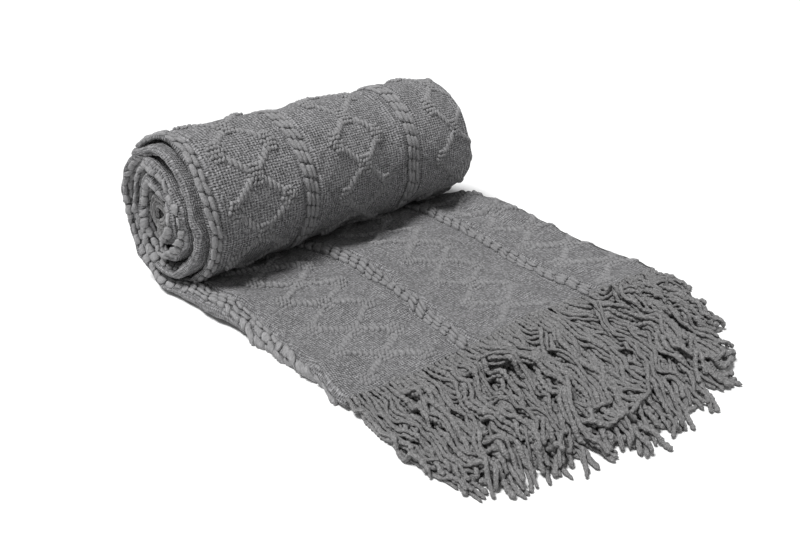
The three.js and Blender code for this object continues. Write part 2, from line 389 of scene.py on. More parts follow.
class Fabric:
    """A soft rough material whose pattern follows the flat cloth or yarn."""

    def __init__(self, name):
        self.material = bpy.data.materials.new(name)
        self.material.use_nodes = True
        self.nodes, self.links = self.material.node_tree.nodes, self.material.node_tree.links
        self.flat = self.node("ShaderNodeUVMap", {}, uv_map="flat").outputs["UV"]
        self.x, self.y, _ = self.node("ShaderNodeSeparateXYZ", {"Vector": self.flat}).outputs

    def node(self, kind, inputs, **settings):
        """A node whose inputs are linked to a socket or set to a value."""
        made = self.nodes.new(kind)
        for name, value in settings.items():
            setattr(made, name, value)
        self.feed(made, inputs)
        return made

    def feed(self, node, inputs):
        for key, value in inputs.items():
            if isinstance(value, bpy.types.NodeSocket):
                self.links.new(value, node.inputs[key])
            else:
                node.inputs[key].default_value = value

    def do(self, operation, *values):
        return self.node("ShaderNodeMath", dict(enumerate(values)), operation=operation).outputs[0]

    def times(self, total, *values):
        for value in values:
            total = self.do("MULTIPLY", total, value)
        return total

    def noise(self, scale, detail, roughness=0.6, vector=None):
        inputs = {"Vector": vector or self.flat, "Scale": scale, "Detail": detail, "Roughness": roughness}
        return self.node("ShaderNodeTexNoise", inputs).outputs["Fac"]

    def cells(self, scale, randomness):
        """Distance from the middles of scattered cells."""
        inputs = {"Vector": self.flat, "Scale": scale, "Randomness": randomness}
        return self.node("ShaderNodeTexVoronoi", inputs).outputs["Distance"]

    def ramp(self, value, low, high, to_low, to_high):
        inputs = {"Value": value, "From Min": low, "From Max": high, "To Min": to_low, "To Max": to_high}
        return self.node("ShaderNodeMapRange", inputs).outputs["Result"]

    def finish(self, colour, tone, relief_height, distance):
        """The material, with the colour times a grey tone and a relief of that distance."""
        grey = self.node("ShaderNodeCombineColor", {0: tone, 1: tone, 2: tone}).outputs["Color"]
        factors = {"Factor": 1.0, "A": (*colour, 1.0), "B": grey}
        mixed = self.node("ShaderNodeMix", factors, data_type="RGBA", blend_type="MULTIPLY")
        bump = self.node("ShaderNodeBump", {"Height": relief_height, "Distance": distance, "Strength": 1.0})
        self.feed(self.nodes["Principled BSDF"], {
            "Base Color": mixed.outputs["Result"],
            "Normal": bump.outputs["Normal"],
            "Roughness": 0.95,
            "Specular IOR Level": 0.15,
            "Sheen Weight": 0.08,
            "Sheen Roughness": 0.6,
        })
        return self.material


def weave_material():
    """An open plain weave: soft uneven threads both ways with dark holes between them; the holes and the
    dips of the threads are painted shade.
    """
    cloth = Fabric("woven_grey_cloth")
    shift = cloth.times(cloth.do("SUBTRACT", cloth.noise(110.0, 3.0), 0.5), 0.0030)
    across = cloth.do("DIVIDE", cloth.do("ADD", cloth.x, shift), WARP_PITCH)
    across = cloth.times(across, cloth.ramp(cloth.x, INNER_START - 0.01, INNER_START, 1.0, INNER_WARP))
    along = cloth.do("DIVIDE", cloth.do("ADD", cloth.y, shift), WEFT_PITCH)
    outer_face = cloth.ramp(cloth.x, INNER_START - 0.02, INNER_START, 1.0, INNER_OPENNESS)
    openness = cloth.times(cloth.ramp(cloth.noise(45.0, 3.0), 0.35, 0.65, 0.0, 1.0), outer_face)
    half_width = cloth.ramp(openness, 0.0, 1.0, 0.46, 0.36)

    def thread(position, crossing, flip):
        """Cover and height of one set of threads: round, over and under the other set."""
        offset = cloth.do("ABSOLUTE", cloth.do("SUBTRACT", cloth.do("FRACT", position), 0.5))
        side = cloth.do("POWER", cloth.do("DIVIDE", offset, half_width), 2.0)
        section = cloth.do("SQRT", cloth.do("MAXIMUM", cloth.do("SUBTRACT", 1.0, side), 0.0))
        phase = cloth.times(cloth.do("ADD", crossing, cloth.do("FLOOR", position)), math.pi)
        over = cloth.times(cloth.do("SINE", phase), flip)
        return section, cloth.times(section, cloth.do("MULTIPLY_ADD", over, 0.28, 0.72))

    warp, warp_height = thread(across, along, 1.0)
    weft, weft_height = thread(along, across, -1.0)
    height = cloth.do("MAXIMUM", warp_height, weft_height)
    cover = cloth.ramp(cloth.do("MAXIMUM", warp, weft), 0.0, 0.85, 0.0, 1.0)
    grains = cloth.ramp(cloth.cells(370.0, 0.7), 0.1, 0.75, 1.0, 0.0)
    # painted shade: the holes between the threads are darkened, a little less on the inner face
    hole_shade = cloth.times(cloth.ramp(cover, 0.0, 1.0, 0.90, 0.0), outer_face)
    # painted shade: each thread darkens where it dips under the other set
    hollow_shade = cloth.times(cloth.ramp(height, 0.3, 1.0, 0.50, 0.0), outer_face)
    tone = cloth.times(
        cloth.do("SUBTRACT", 1.04, hole_shade),
        cloth.do("SUBTRACT", 1.18, hollow_shade),
        # the grains vary the tone at random and are darkest at their sunken edges, which is painted shade
        cloth.ramp(grains, 0.0, 1.0, 0.50, 1.29),
        cloth.ramp(cloth.noise(FIBRE_SCALE, 4.0, 0.7), 0.3, 0.7, 0.80, 1.20),
        cloth.ramp(cloth.noise(18.0, 3.0), 0.3, 0.7, 0.95, 1.05),
        # painted shade: the inner face is darkened as a whole
        cloth.ramp(outer_face, INNER_OPENNESS, 1.0, INNER_PAINTED_SHADE, 1.0),
    )
    return cloth.finish(CLOTH_COLOUR, tone, cloth.do("ADD", height, cloth.times(grains, 0.5)), 0.0015)


def yarn_material(name, colour, twist, fluff_height, hollow_shade):
    """Soft spun yarn: fibres along it, turned by the twist, with a slow change of tone and painted shade
    between its loops.
    """
    yarn = Fabric(name)
    turned = yarn.do("ADD", yarn.x, yarn.times(yarn.y, twist))
    drawn = yarn.node("ShaderNodeCombineXYZ", {"X": turned, "Y": yarn.times(yarn.y, 0.22)}).outputs["Vector"]
    fibres = yarn.noise(FIBRE_SCALE, 4.0, 0.7, drawn)
    fuzz = yarn.noise(520.0, 3.0, 0.75)
    loops = yarn.ramp(yarn.cells(620.0, 0.9), 0.05, 0.75, 1.0, 0.0)
    tone = yarn.times(
        yarn.ramp(fibres, 0.25, 0.75, 0.80, 1.18),
        yarn.ramp(fuzz, 0.3, 0.7, 0.80, 1.22),
        # painted shade: the yarn darkens in the hollows between its loops; the same share deepens their
        # relief
        yarn.ramp(loops, 0.0, 1.0, 1.0 - hollow_shade, 1.15),
        yarn.ramp(yarn.noise(70.0, 2.0), 0.3, 0.7, 0.92, 1.08),
    )
    fluff = yarn.do("ADD", fibres, yarn.do("ADD", fuzz, yarn.times(loops, 3.0 * hollow_shade)))
    return yarn.finish(colour, tone, fluff, fluff_height)


CLOTH_GREY = weave_material()
# the last figure of each yarn is the share of painted shade between its loops
CHAIN_GREY = yarn_material("chain_stitch_yarn", CHAIN_COLOUR, 0.6, 0.0006, 0.22)
FLOAT_GREY = yarn_material("raised_float_yarn", CHAIN_COLOUR, 0.6, 0.0006, 0.22)
# the tail's stitches and floats use this darker copy of the yarn, painted shade
TAIL_SHADED_GREY = yarn_material("tail_stitch_yarn_painted_shade", TAIL_SHADED_CHAIN_COLOUR, 0.6, 0.0006, 0.22)
FRINGE_GREY = yarn_material("fringe_yarn", FRINGE_COLOUR, 0.8, 0.0007, 0.45)

# ---- the woven cloth ----


def steps_between(start, end, step):
    return np.linspace(start, end, max(2, math.ceil(abs(end - start) / step) + 1))


def fold_section(step):
    """The cloth across its width, from the outer free edge to the hidden one.

    Each point has y and n of the middle of the cloth and the direction of its outer face.
    """
    parts = []

    def flat_run(ys, n, facing):
        level = np.full_like(ys, n)
        parts.append(np.stack([ys, level, np.zeros_like(ys), np.full_like(ys, facing)], axis=1))

    def turn(centre_y, centre_n, radius, start, end, count):
        angle = np.radians(np.linspace(start, end, count + 2)[1:-1])
        cos, sin = np.cos(angle), np.sin(angle)
        parts.append(np.stack([centre_y + radius * cos, centre_n + radius * sin, cos, sin], axis=1))

    flat_run(steps_between(SET_BACK, FAR_FOLD, step), -LAYER_PITCH, -1.0)
    turn(FAR_FOLD, 0.0, LAYER_PITCH, -90, 90, 9)
    flat_run(steps_between(FAR_FOLD, NEAR_FOLD, step), LAYER_PITCH, 1.0)
    turn(NEAR_FOLD, LAYER_PITCH / 2, LAYER_PITCH / 2, 90, 270, 7)
    flat_run(steps_between(NEAR_FOLD, 0.05, 0.003), 0.0, -1.0)
    flat_run(steps_between(0.06, HIDDEN_EDGE, 0.012), 0.0, -1.0)
    return np.concatenate(parts)


class ClothSection:
    """Looks up the folded cloth by the distance across it, a little past its free edge too."""

    def __init__(self, past=0.006):
        section = fold_section(0.001)
        past_edge = section[:1] - [[past, 0.0, 0.0, 0.0]]
        self.values = np.concatenate([past_edge, section])
        self.across = distance_along(self.values[:, 0], self.values[:, 1]) - past

    def at(self, across):
        return [np.interp(across, self.across, value) for value in self.values.T]


SECTION = ClothSection()


def on_cloth(s, across, height):
    """World points at a height over the cloth's outer side."""
    y, n, out_y, out_n = SECTION.at(across)
    return place(s, y + out_y * height, n + out_n * height)


def across_at(side, s, y):
    """Distance across the cloth of what is worked into a face of the strip at y."""
    if side == "outer":
        return y - SET_BACK
    slipped = y + face_slip(tail_share(s), y)
    return INNER_START + FAR_FOLD - slipped


def woven_cloth():
    """The whole sheet as two faces and a rim, finer where it shows."""
    y, n, out_y, out_n = fold_section(VISIBLE_STEP).T
    across = distance_along(y, n)
    shown = steps_between(0.0, HEM_NEAR + OUTER_WRAP, VISIBLE_STEP)
    hidden = steps_between(HEM_NEAR + OUTER_WRAP, WOVEN_LENGTH, HIDDEN_STEP)[1:]
    along = np.concatenate([shown, hidden])
    rows, columns = len(along), len(y)
    sheets = []
    for side in (0.5, -0.5):
        points = place(along[:, None], y + out_y * CLOTH * side, n + out_n * CLOTH * side)
        sheets.append(points.reshape(-1, 3))
    points = np.concatenate(sheets)
    outside = grid_quads(rows, columns)
    below = rows * columns
    inside = outside[:, ::-1] + below
    border = np.arange(below).reshape(rows, columns)
    loop = np.concatenate([border[0, :-1], border[:-1, -1], border[-1, :0:-1], border[:0:-1, 0]])
    after = np.roll(loop, -1)
    rim = np.stack([after, loop, loop + below, after + below], axis=1)
    quads = np.concatenate([outside, inside, rim])
    uv = np.stack(np.broadcast_arrays(across[None, :], along[:, None]), axis=-1).reshape(-1, 2)
    uv = np.concatenate([uv, uv])
    return add_piece("woven_cloth", points, quads, CLOTH_GREY, ["woven_panel"], uv)


# ---- raised stitches laid on the cloth ----


def grain_shape(rings, sides, power):
    """A puffy grain of unit half sizes: along, across and up for each ring and side."""
    turn = np.linspace(0, math.pi, rings)
    along = -np.cos(turn) * 0.999
    width = (1.0 - np.abs(along) ** power) ** (1.0 / power)
    width = np.maximum(width, 0.10)
    angle = np.linspace(0, 2 * math.pi, sides, endpoint=False)
    return along[:, None], width[:, None] * np.cos(angle), width[:, None] * np.sin(angle)


def lay_grains(side, s, y, half_sizes, slant, lift, shape):
    """Grains centred at s and y on the outer or inner face of the strip; all values are arrays."""
    rings, sides, power = shape
    quads = tube_quads(len(s), rings, sides)
    along, across, up = grain_shape(rings, sides, power)
    along = np.broadcast_to(along, across.shape)
    s, y, slant, lift = [value[:, None, None] for value in (s, y, slant, lift)]
    half_length, half_width, half_height = [value[:, None, None] for value in half_sizes]
    grain_s = s + along * half_length
    grain_y = y + across * half_width + slant * along
    height = CLOTH / 2 + lift + up * half_height
    points = on_cloth(grain_s, across_at(side, grain_s, grain_y), height).reshape(-1, 3)
    # the middles are spread out, so that neighbours don't share a texture
    length = along * half_length + s * 3.7
    girth = np.broadcast_to(np.arange(sides) / sides, across.shape) * math.pi * 2 * half_width
    uv = np.stack(np.broadcast_arrays(girth, length), axis=-1).reshape(-1, 2)
    if side == "inner":
        quads = quads[:, ::-1]
    return points, quads, uv


def chain_column(side, name, middle, rows, pitch, lag, seed):
    rng = np.random.default_rng(seed)
    on_tail = side == "inner" and name != "near_fold"
    count = int(WOVEN_LENGTH / STITCH_LENGTH)
    s, y = [], []
    for row in range(rows):
        start = (np.arange(count) + 0.5 + (row * lag) % 1.0) * STITCH_LENGTH
        start = start[start < WOVEN_LENGTH - STITCH_LENGTH / 2]
        s.append(start + rng.normal(0, 0.0006, len(start)))
        y.append(middle + (row - (rows - 1) / 2) * pitch + rng.normal(0, 0.0004, len(start)))
    s, y = np.concatenate(s), np.concatenate(y)
    total = len(s)
    if name == "near_fold":
        # on the roll's front it lies further in on the outer wrap, and further out on the others
        wound_by = s - HEM_NEAR
        at_front = smoothstep(-0.02, 0.02, WOUND.at(wound_by)[0]) * smoothstep(0.0, 0.05, wound_by)
        y = y + at_front * (0.0040 - 0.0070 * smoothstep(OUTER_WRAP, OUTER_WRAP + 0.05, wound_by))
    slant = rng.normal(0.0007, 0.0004, total)
    half_sizes = (
        STITCH_LENGTH * rng.uniform(0.48, 0.51, total),
        pitch * rng.uniform(0.46, 0.49, total) * (0.86 if on_tail else 1.0),
        rng.uniform(0.0022, 0.0027, total),
    )
    lift = rng.uniform(0.0009, 0.0014, total)
    shape = TAIL_STITCH_SHAPE if on_tail else STITCH_SHAPE
    points, quads, uv = lay_grains(side, s, y, half_sizes, slant, lift, shape)
    node = f"chain_column_{side}_{name}"
    # stitches on the tail get the darker copy of the yarn, painted shade
    grey = TAIL_SHADED_GREY if on_tail else CHAIN_GREY
    return add_piece(node + "_stitches", points, quads, grey, [node], uv)


def chain_columns():
    outer = [chain_column("outer", *column, 100 + seed) for seed, column in enumerate(OUTER_COLUMNS)]
    inner = [chain_column("inner", *column, 110 + seed) for seed, column in enumerate(INNER_COLUMNS)]
    return outer + inner


def knot_cluster(at, middle):
    """Rows of small knots, set like bricks, where the floats meet."""
    return [
        (at + row * KNOT_PITCH, middle + (place_across - (4 - abs(row)) / 2) * KNOT_PITCH)
        for row in range(-2, 3)
        for place_across in range(5 - abs(row))
    ]


def diamond_grains(middle, length, crossing, start, end, flatter, rng):
    """Middles and half sizes of the floats and knots of one string of diamonds.

    The floats that lean one way are flatter than the others by that share.
    """
    half = length / 2
    steps = round(DIAMOND_HALF_WIDTH / FLOAT_PITCH)
    floats, knots, fullness = [], [], []
    for zig in range(int((start - crossing) / half) - 1, int((end - crossing) / half) + 2):
        at = crossing + zig * half
        for side in (-1, 1):
            for k in range(2, steps - 1):
                reach = k / steps if zig % 2 == 0 else 1.0 - k / steps
                floats.append((at + k / steps * half, middle + side * reach * DIAMOND_HALF_WIDTH))
                leans_out = (side > 0) == (zig % 2 == 0)
                fullness.append(1.0 - flatter if leans_out else 1.0)
            if zig % 2 == 1:
                knots += knot_cluster(at, middle + side * (DIAMOND_HALF_WIDTH - KNOT_PITCH))
        if zig % 2 == 0:
            knots += knot_cluster(at, middle)
    middles = np.array(floats + knots)
    is_knot = np.arange(len(middles)) >= len(floats)
    total = len(middles)
    spreads = (0.12, 0.10, 0.15)
    half_length, half_width, half_height = [
        np.where(is_knot, of_knot, of_float) * rng.uniform(1.0 - spread, 1.0 + spread, total)
        for of_knot, of_float, spread in zip(KNOT_SIZE, FLOAT_SIZE, spreads)
    ]
    half_height[: len(floats)] *= fullness
    s = middles[:, 0] + rng.normal(0, 0.0003, total)
    y = middles[:, 1] + rng.normal(0, 0.0003, total)
    return s, y, half_length, half_width, half_height, is_knot


def string_of_diamonds(name, side, diamond, span, limits, seed):
    """One string of diamonds; on the tail its knots stand less high."""
    rng = np.random.default_rng(seed)
    on_tail = side == "inner"
    grains = diamond_grains(*diamond, *span, 0.45 if on_tail else 0.0, rng)
    s, y = grains[:2]
    keep = (s > span[0]) & (s < span[1]) & (y > limits[0]) & (y < limits[1])
    s, y, half_length, half_width, half_height, is_knot = [value[keep] for value in grains]
    slant = rng.normal(0.0, 0.0005, len(s))
    lift = np.where(is_knot, -0.0004 if on_tail else 0.0005, -0.0002)
    if on_tail:
        half_height = half_height * np.where(is_knot, 0.85, 1.30)
    half_sizes = (half_length, half_width, half_height)
    points, quads, uv = lay_grains(side, s, y, half_sizes, slant, lift, FLOAT_SHAPE)
    # floats and knots on the tail get the darker copy of the yarn, painted shade
    return add_piece(name, points, quads, TAIL_SHADED_GREY if on_tail else FLOAT_GREY, [], uv)


def diamonds():
    """The strings between the columns of the roll's outside and of the tail's top."""
    outer_edge = FAR_FOLD + 0.002
    on_roll = (HEM_NEAR - 0.02, HEM_NEAR + OUTER_WRAP + 0.02)
    on_tail = (0.008, HEM_NEAR - 0.004)
    outer_limits = [(0.032, 0.132), (0.160, 0.296), (0.324, outer_edge)]
    inner_limits = [(0.024, 0.148), (0.176, 0.324), (0.352, outer_edge)]
    made = []
    for number, name in enumerate(["near", "middle", "far"]):
        outer = (OUTER_DIAMONDS[number], on_roll, outer_limits[number], 201 + number)
        inner = (INNER_DIAMONDS[number], on_tail, inner_limits[number], 211 + number)
        made.append(string_of_diamonds("diamonds_roll_" + name, "outer", *outer))
        made.append(string_of_diamonds("diamonds_tail_" + name, "inner", *inner))
    return made


# ---- the loose fringe ----

STRAND_POINTS = 46  # of a yarn as it is laid, and once it is smoothed
STRAND_RINGS = 170
ROOT_DEPTH = 0.0035
ROOT_PITCH = 0.0046
MOST_BUNCHES = 60  # in one layer
CLING = 0.40  # share by which the yarns of a bunch draw together
# shortest and longest wave of the heading, least and most swing in radians
WAVES = [(0.085, 0.15, 0.15, 0.40), (0.045, 0.070, 0.04, 0.14)]
OWN_WAVES = 0.2  # a yarn's own waves, against its bunch's
PILE_CELL = 0.0007
PILE_REACH = 5  # cells on each side of a point
LOFT = 0.90  # share of its radius with which a yarn rests on others
SWINGS = [-0.30, -0.21, -0.14, -0.07, 0.0, 0.07, 0.14, 0.21, 0.30]
SWING_COST = 0.006
PEAK_COST = 0.3
NEAR_LIMIT = -0.028
SLIDE = 0.0010
SLIDES = 4
SLIDE_BLUR = 80
BEND_STEPS = 20
PLY_TURN = 0.0125  # length of one turn of the yarn's two plies
BEADS = (0.0045, 0.0068)  # shortest and longest distance of its beads
TIP_LENGTH = 0.0018
ROOT_LENGTH = 0.006

# name, place of the layer in the strip, first and last root, bunches in the CAD model
FRINGE_LAYERS = [
    ("upper", LAYER_PITCH, 0.004, 0.416, 12),
    ("middle", 0.0, 0.006, 0.400, 6),
    ("lower", -LAYER_PITCH, 0.018, 0.414, 6),
]

# where the cut ends lie: places across the strip, and how far from the roll's middle they reach there
OUTLINE_PLACES = [-0.040, -0.030, -0.022, -0.015, 0.0, 0.100, 0.160, 0.215, 0.250, 0.310, 0.360, 0.400]
OUTLINE_REACH = [0.385, 0.412, 0.428, 0.448, 0.464, 0.497, 0.520, 0.522, 0.510, 0.472, 0.448, 0.395]


def points_inside(path, past):
    """How many points of each yarn come before it leaves the outline, moved out by past."""
    limit = np.interp(path[:, :, 1], OUTLINE_PLACES, OUTLINE_REACH)
    outside = path[:, :, 0] > limit + past[:, None]
    return np.where(outside.any(axis=1), outside.argmax(axis=1), path.shape[1] - 1)


class Strands:
    """Every loose yarn: where it is tied, the shape it is laid in and how thick it is."""

    def __init__(self):
        rng = np.random.default_rng(8)
        rows = [np.arange(first, last, ROOT_PITCH) for _, _, first, last, _ in FRINGE_LAYERS]
        self.root = np.concatenate([row + rng.normal(0, 0.0005, len(row)) for row in rows])
        self.layer = np.repeat(np.arange(len(rows)), [len(row) for row in rows])
        self.level = np.array([level for _, level, *_ in FRINGE_LAYERS])[self.layer]
        self.count = len(self.root)
        self.bunch = self.bunches(rng)
        self.length = self.lengths(rng)
        self.radius = YARN / 2 * np.clip(rng.normal(0.93, 0.16, self.count), 0.60, 1.40)
        self.laid = self.lay(rng)

    def bunches(self, rng):
        """Neighbouring yarns cling together in bunches of two to six."""
        total = len(FRINGE_LAYERS) * MOST_BUNCHES
        edges = np.cumsum(rng.uniform(0.009, 0.024, (len(FRINGE_LAYERS), MOST_BUNCHES)), axis=1)
        found = [np.searchsorted(edges[layer], root) for layer, root in zip(self.layer, self.root)]
        bunch = np.array(found) + MOST_BUNCHES * self.layer
        middles = np.bincount(bunch, self.root, total) / np.maximum(np.bincount(bunch, minlength=total), 1)
        self.off_middle = self.root - middles[bunch]
        return bunch

    def by_bunch(self, draw, *limits):
        """Draws one value for every bunch, and gives each yarn its bunch's."""
        return draw(*limits, len(FRINGE_LAYERS) * MOST_BUNCHES)[self.bunch]

    def lengths(self, rng):
        """The natural length of each yarn, before the ends are trimmed."""
        length = 0.216 - 0.008 * self.layer + self.by_bunch(rng.uniform, -0.018, 0.010)
        return length + rng.normal(0, 0.005, self.count)

    def waves(self, rng, shared):
        """Two waves of heading for every yarn: phase, length and swing, of its bunch or its own."""
        made = []
        for shortest, longest, least, most in WAVES:
            limits = [(0, 2 * math.pi), (shortest, longest), (least, most)]
            drawn = [self.by_bunch(rng.uniform, *limit) for limit in limits]
            if not shared:
                drawn = [rng.uniform(*limit, self.count) for limit in limits]
                drawn[2] *= OWN_WAVES
            made.append(drawn)
        return made

    def curls(self, rng):
        """How far the last part of each yarn turns, and where that starts."""
        chance = self.by_bunch(rng.uniform, 0, 1) + rng.normal(0, 0.10, self.count)
        way = np.where(self.by_bunch(rng.uniform, 0, 1) > 0.4, 1.0, -1.0)
        strong = way * (self.by_bunch(rng.uniform, 1.2, 2.4) + rng.normal(0, 0.2, self.count))
        curl = np.where(chance > 0.92, strong, rng.normal(0, 0.35, self.count))
        return curl, self.by_bunch(rng.uniform, 0.60, 0.80) + rng.normal(0, 0.02, self.count)

    def lay(self, rng):
        """The shape each yarn is laid in: fanned out, waved and curled, and trimmed to the outline."""
        start = place(0.0, self.root, self.level) - ORIGIN
        fan = -0.16 - 0.22 * smoothstep(0.0, 0.13, self.root) - 0.14 * smoothstep(0.28, 0.42, self.root)
        fan = fan + self.by_bunch(rng.normal, 0, 0.08)
        waves = self.waves(rng, True) + self.waves(rng, False)
        curls = self.curls(rng)
        self.past = self.by_bunch(rng.uniform, -0.034, 0.004) + rng.normal(0, 0.006, self.count)
        kept = points_inside(self.walk(start, fan, waves, curls), self.past)
        self.length = self.length * np.maximum(kept, STRAND_POINTS // 3) / (STRAND_POINTS - 1)
        path = self.walk(start, fan, waves, curls)
        share = np.linspace(0, 1, STRAND_POINTS)[None, :]
        height = start[:, 2:] * (1.0 - smoothstep(0.0, 0.25, share))
        height[:, :2] = start[:, 2:]
        return np.concatenate([path, height[..., None]], axis=2)

    def walk(self, start, fan, waves, curls):
        """Follows every yarn from its root at its own even pace."""
        curl, curl_from = curls
        spacing = self.length / (STRAND_POINTS - 1)
        x, y = start[:, 0] - ROOT_DEPTH, start[:, 1].copy()
        path = [np.stack([x, y], axis=1)]
        free = 0.35 + 0.65 * smoothstep(0.0, 0.05, self.root)
        for step in range(1, STRAND_POINTS):
            distance = (step - 1) * spacing
            flow = np.stack([x * 0.8, y, self.layer * 0.015], axis=1)
            wander = 0.22 * ripple(flow, 51, 0.12)
            for phase, length, swing in waves:
                wander = wander + swing * np.sin(2 * math.pi * distance / length + phase)
            heading = (fan + free * wander) * smoothstep(0.0, 0.030, distance - ROOT_DEPTH)
            heading = heading + curl * smoothstep(curl_from, 1.0, distance / self.length)
            x = x + np.cos(heading) * spacing
            y = y + np.sin(heading) * spacing
            path.append(np.stack([x, y], axis=1))
        path = np.stack(path, axis=1)
        distance = np.arange(STRAND_POINTS) * spacing[:, None]
        path[:, :, 1] -= CLING * self.off_middle[:, None] * smoothstep(0.006, 0.045, distance)
        return path


class Pile:
    """The top of all that lies in front of the hem, as heights on a fine grid."""

    def __init__(self):
        self.corner = np.array([HEM_NEAR - 0.06, -0.22])
        self.top = np.zeros((round(0.40 / PILE_CELL), round(0.74 / PILE_CELL)))
        span = np.arange(-PILE_REACH, PILE_REACH + 1)
        self.steps = np.stack(np.meshgrid(span, span, indexing="ij"), axis=-1).reshape(-1, 2)

    def under(self, points, radius):
        """Grid cells below a ball of that radius at every point, and the ball's rise over each of them."""
        cells = np.round((points - self.corner) / PILE_CELL).astype(int)[:, None] + self.steps
        offset = cells * PILE_CELL + self.corner - points[:, None]
        squared = radius**2 - (offset**2).sum(axis=-1)
        return cells[..., 0], cells[..., 1], np.sqrt(np.maximum(squared, 0.0)), squared > 0.0

    def rest(self, points, radius):
        """Height at which a ball of that radius rests at every point."""
        rows, columns, rise, inside = self.under(points, radius)
        return np.where(inside, self.top[rows, columns] + rise, radius).max(axis=1)

    def add(self, points, radius):
        """Raises the top to the balls of that radius at the points."""
        rows, columns, rise, inside = self.under(points[:, :2], radius)
        level = (points[:, 2:] + rise)[inside]
        np.maximum.at(self.top, (rows[inside], columns[inside]), level)


def blurred(values, times):
    """The values averaged with their neighbours a number of times, with both ends kept."""
    for _ in range(times):
        values = values.copy()
        values[1:-1] = 0.25 * values[:-2] + 0.5 * values[1:-1] + 0.25 * values[2:]
    return values


def slide(pile, points, radius, held):
    """Moves a yarn sideways down the slopes under it, by at most SLIDE each time."""
    for _ in range(SLIDES):
        along = np.gradient(points, axis=0)
        side = np.stack([-along[:, 1], along[:, 0]], axis=1) / np.linalg.norm(along, axis=1)[:, None]
        left = pile.rest(points + side * SLIDE, radius)
        right = pile.rest(points - side * SLIDE, radius)
        slope = blurred(np.clip((right - left) / (2 * SLIDE), -1.0, 1.0), SLIDE_BLUR)
        free = smoothstep(held, held + 20, np.arange(len(points)))
        points = points + side * (SLIDE * slope * free)[:, None]
    return points


def cut_back(curves, past):
    """Cuts yarns where they leave the outline, and puts the same number of points on what is left."""
    kept = np.maximum(points_inside(curves, past), STRAND_RINGS // 3)
    steps = np.arange(STRAND_RINGS)
    for curve, last in zip(curves, kept):
        at = steps * last / (STRAND_RINGS - 1)
        curve[:] = np.stack([np.interp(at, steps, values) for values in curve.T], axis=1)
    return kept / (STRAND_RINGS - 1)


def swing_aside(pile, curves, radii):
    """Swings a bunch of yarns about its roots, to where the pile under it is lowest."""
    reach = curves[:, :, 0] - curves[:, :1, 0]
    costs, tries = [], []
    for swing in SWINGS:
        turned = curves[:, :, :2].copy()
        turned[:, :, 1] += swing * reach * smoothstep(0.0, 0.06, reach)
        heights = pile.rest(turned[:, ::4].reshape(-1, 2), radii.mean())
        outside = np.maximum(NEAR_LIMIT - turned[:, :, 1], 0.0).max()
        costs.append(heights.mean() + PEAK_COST * heights.max() + SWING_COST * abs(swing) + outside)
        tries.append(turned)
    curves[:, :, :2] = tries[np.argmin(costs)]


def lay_yarn(pile, curve, radius, spacing):
    """Lays one yarn on the pile: it slides down the slopes, then sags between what holds it up."""
    held = math.ceil(ROOT_DEPTH / spacing) + 1
    loft = radius * LOFT
    curve[:, :2] = slide(pile, curve[:, :2], loft, held)
    root = curve[:held, 2].copy()
    lowest = pile.rest(curve[:, :2], loft) - loft + radius
    height = np.maximum(curve[:, 2], lowest)
    for _ in range(BEND_STEPS):
        height[:held] = root
        height = np.maximum(blurred(height, 1), lowest)
    height[:held] = root
    curve[:, 2] = blurred(height, 3)
    pile.add(curve, radius)


def pile_up(strands):
    """Lays the yarns bunch by bunch on the table and on each other, the lowest layer of the strip first."""
    rng = np.random.default_rng(23)
    curves = smooth_curve(strands.laid, STRAND_RINGS)
    pile = Pile()
    bunches, firsts = np.unique(strands.bunch, return_index=True)
    order = np.lexsort((rng.uniform(0, 1, len(bunches)), -strands.layer[firsts]))
    for bunch in bunches[order]:
        mine = np.flatnonzero(strands.bunch == bunch)
        turned = curves[mine]
        swing_aside(pile, turned, strands.radius[mine])
        strands.length[mine] *= cut_back(turned, strands.past[mine])
        curves[mine] = turned
        spacing = strands.length / (STRAND_RINGS - 1)
        for number in rng.permutation(mine):
            lay_yarn(pile, curves[number], strands.radius[number], spacing[number])
    return curves


def smooth_curve(points, rings):
    """Points on a uniform cubic B-spline that follows every strand's points."""
    first = 2 * points[:, :1] - points[:, 1:2]
    last = 2 * points[:, -1:] - points[:, -2:-1]
    knots = np.concatenate([first, points, last], axis=1)
    position = np.linspace(0, points.shape[1] - 1, rings)
    index = np.minimum(position.astype(int), points.shape[1] - 2)
    t = (position - index)[None, :, None]
    parts = [(1 - t) ** 3, 3 * t**3 - 6 * t**2 + 4, -3 * t**3 + 3 * t**2 + 3 * t + 1, t**3]
    return sum(part * knots[:, index + k] for k, part in enumerate(parts)) / 6


